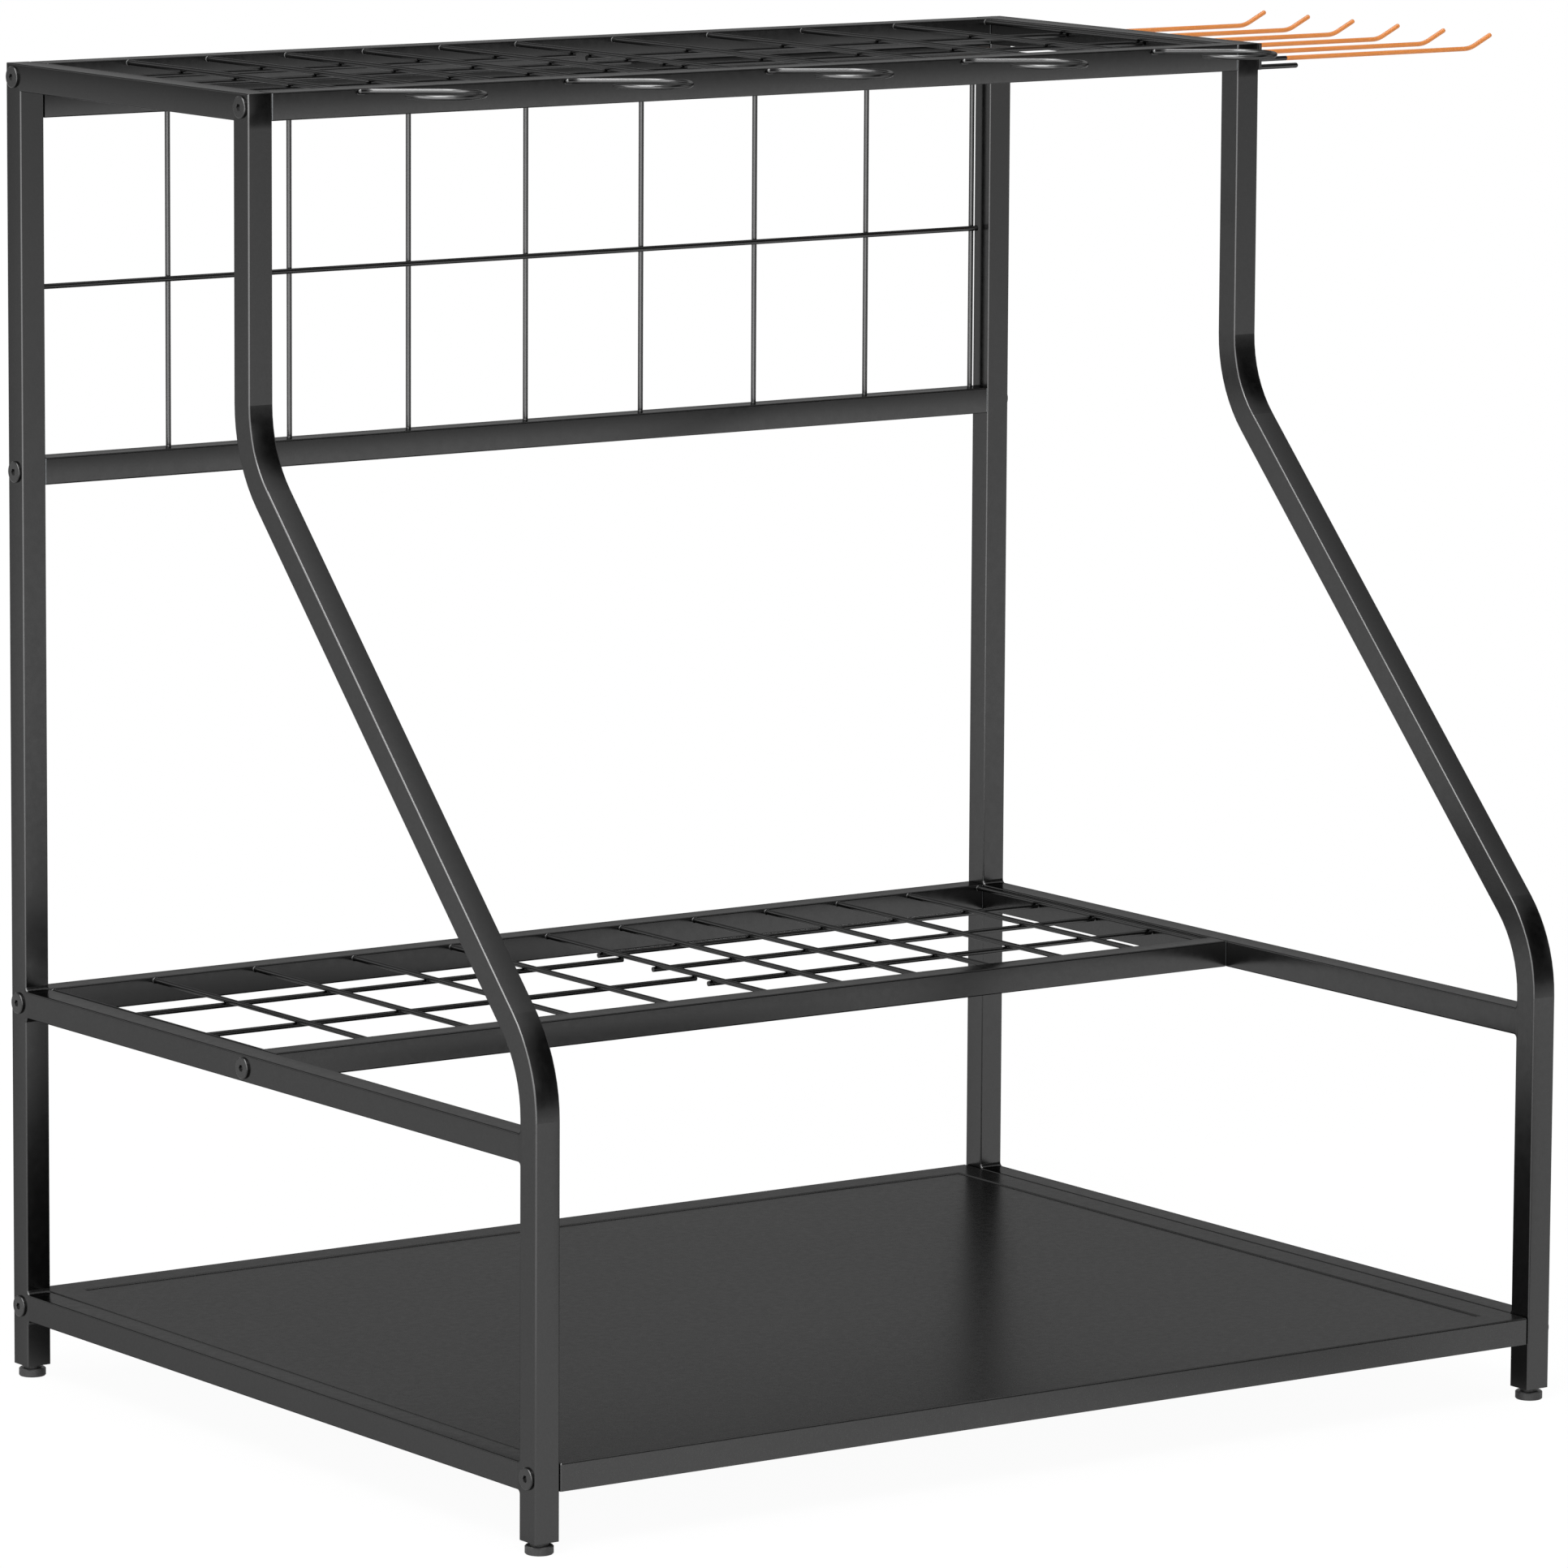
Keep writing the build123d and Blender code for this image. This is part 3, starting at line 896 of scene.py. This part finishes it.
@dataclass
class BackPanel:
    """The wire panel between the rear posts, with its two cross rails."""

    sizes: RackSizes
    columns: int = 8
    edge: float = 5.75
    shift: float = 3.8
    end_inset: float = 6.45
    wire_inset: float = 2.55

    def dress(self, frame: dict, book: FinishBook) -> None:
        """Coats the rails and the wires.

        Args:
            frame: loaded frame.
            book: finishes.
        """
        for rail in ("bottom_rail", "top_rail"):
            dress(frame, f"back_panel_{rail}", book.coats[Coat.CROSS_TUBE])
        for part in ("upright_wires", "cross_wire"):
            dress(frame, f"back_panel_{part}", book.coats[Coat.WIRE])

    def build(self, book: FinishBook) -> bpy.types.Object:
        """Lays a weld skirt round both ends of every upright wire.

        Args:
            book: finishes.

        Returns:
            The weld piece.
        """
        sheet = MeshSheet()
        collar = WeldCollar(self.sizes.wire / 2)
        step = (2 * self.sizes.inner_half - 2 * self.edge) / self.columns
        end = self.sizes.inner_half - self.end_inset
        places = [-end] + [self.shift + (i - self.columns / 2) * step for i in range(1, self.columns)] + [end]
        y = self.sizes.rear - self.wire_inset - self.sizes.wire / 2
        low = self.sizes.panel_rail + self.sizes.tube
        high = self.sizes.height - 2 * self.sizes.tube
        for x in places:
            collar.lay(sheet, self.sizes.at(x, y, low), Vector((0, 0, 1)))
            collar.lay(sheet, self.sizes.at(x, y, high), Vector((0, 0, -1)))
        return sheet.finish("back_panel_wire_welds", "rack", book.coats[Coat.WIRE])


@dataclass
class Shelf:
    """The folded shelf tray and its two hidden stiffeners."""

    nodes: tuple[str, ...] = ("shelf_tray", "shelf_stiffener_front", "shelf_stiffener_rear")

    def dress(self, frame: dict, book: FinishBook) -> None:
        """Coats the sheet metal.

        Args:
            frame: loaded frame.
            book: finishes.
        """
        for node in self.nodes:
            dress(frame, node, book.coats[Coat.SHEET])


@dataclass
class RingHooks:
    """The open wire rings on the front rail, each welded along its short foot."""

    sizes: RackSizes
    count: int = 5
    left_margin: float = 74.85
    right_margin: float = 87.85
    foot: float = 9.3
    weld_leg: float = 1.5
    # The bead's length and its middle's place as shares of the foot, and its depth as a share of the wire.
    weld_length_share: float = 0.8
    weld_middle_share: float = 0.45
    weld_depth_share: float = 0.8

    def dress(self, frame: dict, book: FinishBook) -> None:
        """Coats the rings.

        Args:
            frame: loaded frame.
            book: finishes.
        """
        for i in range(self.count):
            dress(frame, f"ring_hook_{i + 1}", book.coats[Coat.WIRE])

    def build(self, book: FinishBook) -> bpy.types.Object:
        """Lays a bead under each ring's foot, against the rail.

        Args:
            book: finishes.

        Returns:
            The weld piece.
        """
        sheet = MeshSheet()
        bead = WeldBead(self.weld_leg)
        along, down, ahead = Vector((1, 0, 0)), Vector((0, 0, -1)), Vector((0, -1, 0))
        z = self.sizes.height - self.weld_depth_share * self.sizes.wire
        span = 2 * self.sizes.inner_half
        step = (span - self.left_margin - self.right_margin) / (self.count - 1)
        for i in range(self.count):
            x = -span / 2 + self.left_margin + i * step + self.weld_middle_share * self.foot
            corner = self.sizes.at(x, self.sizes.top_front, z)
            bead.lay(sheet, corner, along, down, ahead, self.weld_length_share * self.foot)
        return sheet.finish("ring_hook_welds", "rack", book.coats[Coat.WIRE])


@dataclass
class HookRail:
    """The plate on the right top rail with its sleeved hooks and its front peg."""

    sizes: RackSizes
    count: int = 6
    plate: float = 3.0
    end_margin: float = 27.4
    root_diameter: float = 3.8
    root_weld_leg: float = 1.4
    below_top: float = 15.5

    def dress(self, frame: dict, book: FinishBook) -> None:
        """Coats the plate, the wires and the peg, and gives the hooks their orange sleeves.

        Args:
            frame: loaded frame.
            book: finishes.
        """
        dress(frame, "hook_rail", book.coats[Coat.SHEET])
        dress(frame, "hook_rail_peg", book.coats[Coat.WIRE])
        for i in range(self.count):
            dress(frame, f"hook_wire_{i + 1}", book.coats[Coat.WIRE])
            dress(frame, f"hook_sleeve_{i + 1}", book.sleeve)

    def build(self, book: FinishBook) -> bpy.types.Object:
        """Lays a weld skirt round the root of each hook.

        Args:
            book: finishes.

        Returns:
            The weld piece.
        """
        sheet = MeshSheet()
        x = self.sizes.width / 2 + self.plate
        step = (self.sizes.top_depth - 2 * self.end_margin) / (self.count - 1)
        root = WeldCollar(self.root_diameter / 2, self.root_weld_leg)
        for i in range(self.count):
            y = self.sizes.top_front + self.end_margin + i * step
            root.lay(sheet, self.sizes.at(x, y, self.sizes.height - self.below_top), Vector((1, 0, 0)))
        return sheet.finish("hook_rail_welds", "rack", book.coats[Coat.WIRE])


@dataclass
class Fasteners:
    """Bolts, inserts, washers, nuts and plugs."""

    bolts: tuple[str, ...] = ("left_bolts", "right_bolts")
    plated: tuple[str, ...] = ("rail_inserts", "shelf_washers", "shelf_nuts")
    plugs: tuple[str, ...] = ("foot_plugs",)

    def dress(self, frame: dict, book: FinishBook) -> None:
        """Finishes every fastener.

        Args:
            frame: loaded frame.
            book: finishes.
        """
        for names, material in ((self.bolts, book.bolt), (self.plated, book.zinc), (self.plugs, book.foot)):
            for node in names:
                dress(frame, node, material)


@dataclass
class LevellingFeet:
    """The four screw feet."""

    name: str = "foot"

    def dress(self, frame: dict, book: FinishBook) -> None:
        """Finishes every foot.

        Args:
            frame: loaded frame.
            book: finishes.
        """
        for side in Side:
            for end in End:
                dress(frame, f"{self.name}_{end.word}_{side.word}", book.foot)


@dataclass
class Softbox:
    """One soft box of the studio, with its place, aim and size in metres and the brightness of its face."""

    name: str
    place: tuple[float, float, float]
    aim: tuple[float, float, float]
    size: tuple[float, float]
    brightness: float
    # A reflector card only shows in the coat's gloss; it adds no light of its own.
    card: bool = False

    def hang(self) -> bpy.types.Object:
        """Hangs the soft box so that it faces its aim.

        Returns:
            The lamp object.
        """
        lamp = bpy.data.lights.new(self.name, "AREA")
        lamp.shape = "RECTANGLE"
        lamp.size, lamp.size_y = self.size
        # A lamp face of brightness 1 gives pi watts for each square metre.
        lamp.energy = self.brightness * math.pi * self.size[0] * self.size[1]
        holder = bpy.data.objects.new(self.name, lamp)
        holder.location = self.place
        holder.rotation_euler = (Vector(self.aim) - Vector(self.place)).to_track_quat("-Z", "Y").to_euler()
        holder.visible_camera = False
        holder.visible_diffuse = not self.card
        bpy.context.scene.collection.objects.link(holder)
        LOG.info("soft box %s", self.name)
        return holder


@dataclass(frozen=True)
class PaintedFloorShade:
    """A painted shade on the floor, seen only in the gloss, with its middle and half sizes in metres."""

    centre: tuple[float, float]
    half: tuple[float, float]
    turn_deg: float
    light_left: float
    softness: float

    def light(self, tree: Tree, place: Socket) -> Socket:
        """Gives the share of the floor's glow that the painted shade leaves.

        Args:
            tree: the floor's node tree.
            place: places on the floor, in metres.

        Returns:
            The socket with the share, which is 1 outside the shade.
        """
        own = add_node(
            tree,
            "Mapping",
            {
                "Vector": place,
                "Location": (*self.centre, 0.0),
                "Rotation": (0.0, 0.0, math.radians(self.turn_deg)),
                "Scale": (*self.half, 1.0),
            },
            vector_type="TEXTURE",
        )
        sides = add_node(tree, "SeparateXYZ", {0: add_vector_math(tree, "ABSOLUTE", own.outputs[0])})
        reach = add_math(tree, "MAXIMUM", sides.outputs["X"], sides.outputs["Y"])
        span = (1 - self.softness, 1 + self.softness)
        return map_range(tree, reach, span, (self.light_left, 1.0), smooth=True)


@dataclass
class Studio:
    """The pale studio: floor, white room with an unlit part in front, soft boxes and the camera."""

    sizes: RackSizes
    floor_tone: str = "#f4f4f4"
    floor_radius_m: float = 2.4
    floor_sides: int = 96
    shadow_share: float = 0.06
    # Just enough for the unshaded floor, with its matt share, to show as white.
    glow: float = 1.02
    # The floor's brightness where it is mirrored: near the rack, up to this distance, and at the rim.
    near_m: float = 1.0
    near_glow: float = 0.9
    rim_glow: float = 0.96
    # Painted shade under the shelf, and a painted dark patch in front that keeps the left rear post's front
    # face dark.
    shades: tuple[PaintedFloorShade, ...] = (
        PaintedFloorShade((-0.13, 0.0), (0.46, 0.36), turn_deg=0.0, light_left=0.1, softness=0.15),
        PaintedFloorShade((0.43, -1.09), (0.44, 0.2), turn_deg=-55.0, light_left=0.2, softness=0.5),
    )
    # The camera: its eye from the frame's middle, its turns, and its lens in pixels of the photograph.
    eye: tuple[float, float, float] = (-4183.9, -5916.3, 1610.3)
    yaw_deg: float = 34.815
    pitch_deg: float = 8.268
    roll_deg: float = 0.267
    focal_px: float = 11547.81
    centre_px: tuple[float, float] = (872.9, 847.4)
    image_px: float = 1932.0
    sensor_mm: float = 36.0
    clip_end_m: float = 500.0
    # Brightness of the room by the upward share of a direction, for the lit walls and for the unlit part.
    lit_levels: tuple[tuple[float, float], ...] = (
        (-0.25, 1.05),
        (-0.15, 1.05),
        (-0.07, 0.65),
        (0.0, 0.1),
        (0.08, 0.2),
        (0.15, 0.5),
        (0.185, 0.82),
        (0.215, 1.35),
        (0.26, 1.4),
        (0.4, 0.6),
        (0.6, 0.35),
        (0.8, 0.6),
        (1.0, 0.9),
    )
    unlit_levels: tuple[tuple[float, float], ...] = (
        (-0.25, 1.1),
        (-0.15, 1.15),
        (-0.07, 0.45),
        (0.0, 0.12),
        (0.16, 0.07),
        (0.3, 0.02),
        (0.45, 0.01),
        (0.64, 0.01),
        (0.75, 0.25),
        (0.9, 0.7),
        (1.0, 0.9),
    )
    # The unlit part's soft edges, by a direction's Y, by its X less a share of its Z, and by its X.
    front_edge: tuple[float, float] = (-0.35, -0.05)
    left_edge: tuple[float, float] = (0.1, 0.42)
    left_edge_lean: float = -0.3
    right_edge: tuple[float, float] = (0.72, 0.9)
    softboxes: tuple[Softbox, ...] = (
        Softbox("key_softbox", (-2.6, -2.2, 4.4), (0.0, 0.0, 0.6), (2.6, 1.8), 9.0),
        Softbox("left_wall_card", (-2.0, -1.4, 1.25), (0.0, 0.0, 1.25), (5.0, 2.4), 2.2, card=True),
        Softbox("low_left_card", (-1.62, -1.14, 0.012), (-1.628, -1.1457, 1.0), (2.4, 1.4), 0.5, card=True),
        Softbox("left_high_card", (-6.8, 0.4, 4.6), (0.0, 0.0, 0.6), (6.0, 4.0), 3.0, card=True),
        Softbox("overhead_card", (-1.6, -0.5, 8.6), (-1.6, -0.5, 0.0), (5.8, 4.2), 9.0, card=True),
    )

    def floor_finish(self) -> Material:
        """Makes the floor white to the eye, a little dimmer where it is mirrored, with a faint shadow and
        painted shade.

        Returns:
            The floor's material.
        """
        material, tree = new_material("pale_studio_floor")
        path = add_node(tree, "LightPath")
        straight = straight_rays(tree, path)
        shown = add_math(tree, "MAXIMUM", straight, path.outputs["Is Glossy Ray"])
        share = add_math(tree, "MULTIPLY", shown, 1 - self.shadow_share)
        place = add_node(tree, "NewGeometry").outputs["Position"]
        reach = add_node(tree, "VectorMath", {0: place}, operation="LENGTH").outputs["Value"]
        mirrored = map_range(
            tree, reach, (self.near_m, self.floor_radius_m), (self.near_glow, self.rim_glow)
        )
        # Painted shade: the mirrored glow is dimmed under the shelf and in a patch in front of the rack.
        for shade in self.shades:
            mirrored = add_math(tree, "MULTIPLY", mirrored, shade.light(tree, place))
        level = blend(tree, straight, mirrored, self.glow, "FLOAT")
        matt = add_node(tree, "BsdfDiffuse", {"Color": linear(self.floor_tone)})
        glow = add_node(tree, "Emission", {"Color": (1, 1, 1, 1), "Strength": level})
        mix = add_node(tree, "MixShader", {0: share, 1: matt.outputs[0], 2: glow.outputs[0]})
        add_node(tree, "OutputMaterial", {"Surface": mix.outputs[0]})
        return material

    def build_floor(self) -> bpy.types.Object:
        """Lays the round floor.

        Returns:
            The floor object.
        """
        mesh = bpy.data.meshes.new("studio_floor")
        turns = [2 * math.pi * i / self.floor_sides for i in range(self.floor_sides)]
        rim = [(self.floor_radius_m * math.cos(t), self.floor_radius_m * math.sin(t), 0.0) for t in turns]
        mesh.from_pydata(rim, [], [tuple(range(self.floor_sides))])
        mesh.materials.append(self.floor_finish())
        floor = bpy.data.objects.new("studio_floor", mesh)
        bpy.context.scene.collection.objects.link(floor)
        return floor

    def unlit_mask(self, tree: Tree, axes: Node) -> Socket:
        """Finds the unlit part of the room, in front on the right.

        Args:
            tree: the room's node tree.
            axes: node with a direction's three shares.

        Returns:
            The socket that is 1 in the unlit part and 0 in the lit one.
        """
        side = add_math(tree, "MULTIPLY_ADD", axes.outputs["Z"], self.left_edge_lean, axes.outputs["X"])
        front = map_range(tree, axes.outputs["Y"], self.front_edge, (1.0, 0.0), smooth=True)
        left = map_range(tree, side, self.left_edge, smooth=True)
        right = map_range(tree, axes.outputs["X"], self.right_edge, (1.0, 0.0), smooth=True)
        return add_math(tree, "MULTIPLY", add_math(tree, "MULTIPLY", front, left), right)

    def build_room(self) -> bpy.types.World:
        """Makes the room round the rack: lit walls and ceiling, and an unlit part in front on the right.

        Returns:
            The world.
        """
        world = bpy.data.worlds.new("white_studio_room")
        bpy.context.scene.world = world
        tree = start_tree(world)
        way = add_node(tree, "TexCoord").outputs["Generated"]
        axes = add_node(tree, "SeparateXYZ", {0: way})
        low = self.lit_levels[0][0]
        rise = map_range(tree, axes.outputs["Z"], (low, 1.0))
        ramps = []
        for levels in (self.lit_levels, self.unlit_levels):
            ramp = add_node(tree, "ValToRGB", {0: rise})
            set_ramp(ramp, [((z - low) / (1 - low), (v, v, v, 1)) for z, v in levels])
            ramps.append(ramp.outputs[0])
        walls = blend(tree, self.unlit_mask(tree, axes), *ramps)
        straight = straight_rays(tree, add_node(tree, "LightPath"))
        seen = blend(tree, straight, walls, (1, 1, 1, 1))
        room = add_node(tree, "Background", {"Color": seen, "Strength": 1.0})
        add_node(tree, "OutputWorld", {"Surface": room.outputs[0]})
        return world

    def build_lamps(self) -> None:
        """Hangs the soft boxes round the rack."""
        for box in self.softboxes:
            box.hang()

    def build_camera(self) -> bpy.types.Object:
        """Sets the camera where the photograph was taken from.

        Returns:
            The camera object.
        """
        yaw, pitch, roll = (math.radians(a) for a in (self.yaw_deg, self.pitch_deg, self.roll_deg))
        ahead = Vector((math.sin(yaw) * math.cos(pitch), math.cos(yaw) * math.cos(pitch), -math.sin(pitch)))
        right = Vector((math.cos(yaw), -math.sin(yaw), 0))
        up = right.cross(ahead)
        rolled_right = right * math.cos(roll) + up * math.sin(roll)
        rolled_up = up * math.cos(roll) - right * math.sin(roll)
        data = bpy.data.cameras.new("photo_camera")
        data.sensor_fit = "AUTO"
        data.sensor_width = self.sensor_mm
        data.lens = self.focal_px / self.image_px * self.sensor_mm
        data.shift_x = (self.image_px / 2 - self.centre_px[0]) / self.image_px
        data.shift_y = -(self.image_px / 2 - self.centre_px[1]) / self.image_px
        data.clip_end = self.clip_end_m
        camera = bpy.data.objects.new("photo_camera", data)
        turn = Matrix((rolled_right, rolled_up, -ahead)).transposed()
        camera.matrix_world = Matrix.Translation(self.sizes.at(*self.eye) * MM) @ turn.to_4x4()
        bpy.context.scene.collection.objects.link(camera)
        bpy.context.scene.camera = camera
        return camera

    def build(self) -> None:
        """Builds the whole studio."""
        bpy.context.scene.view_settings.view_transform = "Standard"
        self.build_floor()
        self.build_room()
        self.build_lamps()
        self.build_camera()


def main() -> None:
    """Loads the frame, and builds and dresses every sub-assembly."""
    logging.basicConfig(level=logging.INFO, format="%(name)s: %(message)s")
    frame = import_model()
    sizes = RackSizes.read()
    Studio(sizes).build()
    book = FinishBook().make(sizes)
    welded = [
        SideFrame(Side.LEFT, sizes),
        SideFrame(Side.RIGHT, sizes),
        WireGrid("top_grid", Side.LEFT, sizes.height, sizes),
        WireGrid("middle_grid", Side.RIGHT, sizes.middle_rail + sizes.tube, sizes),
        BackPanel(sizes),
        RingHooks(sizes),
        HookRail(sizes),
    ]
    for assembly in welded:
        assembly.dress(frame, book)
        assembly.build(book)
    for assembly in (Shelf(), Fasteners(), LevellingFeet()):
        assembly.dress(frame, book)


if __name__ == "__main__":
    main()
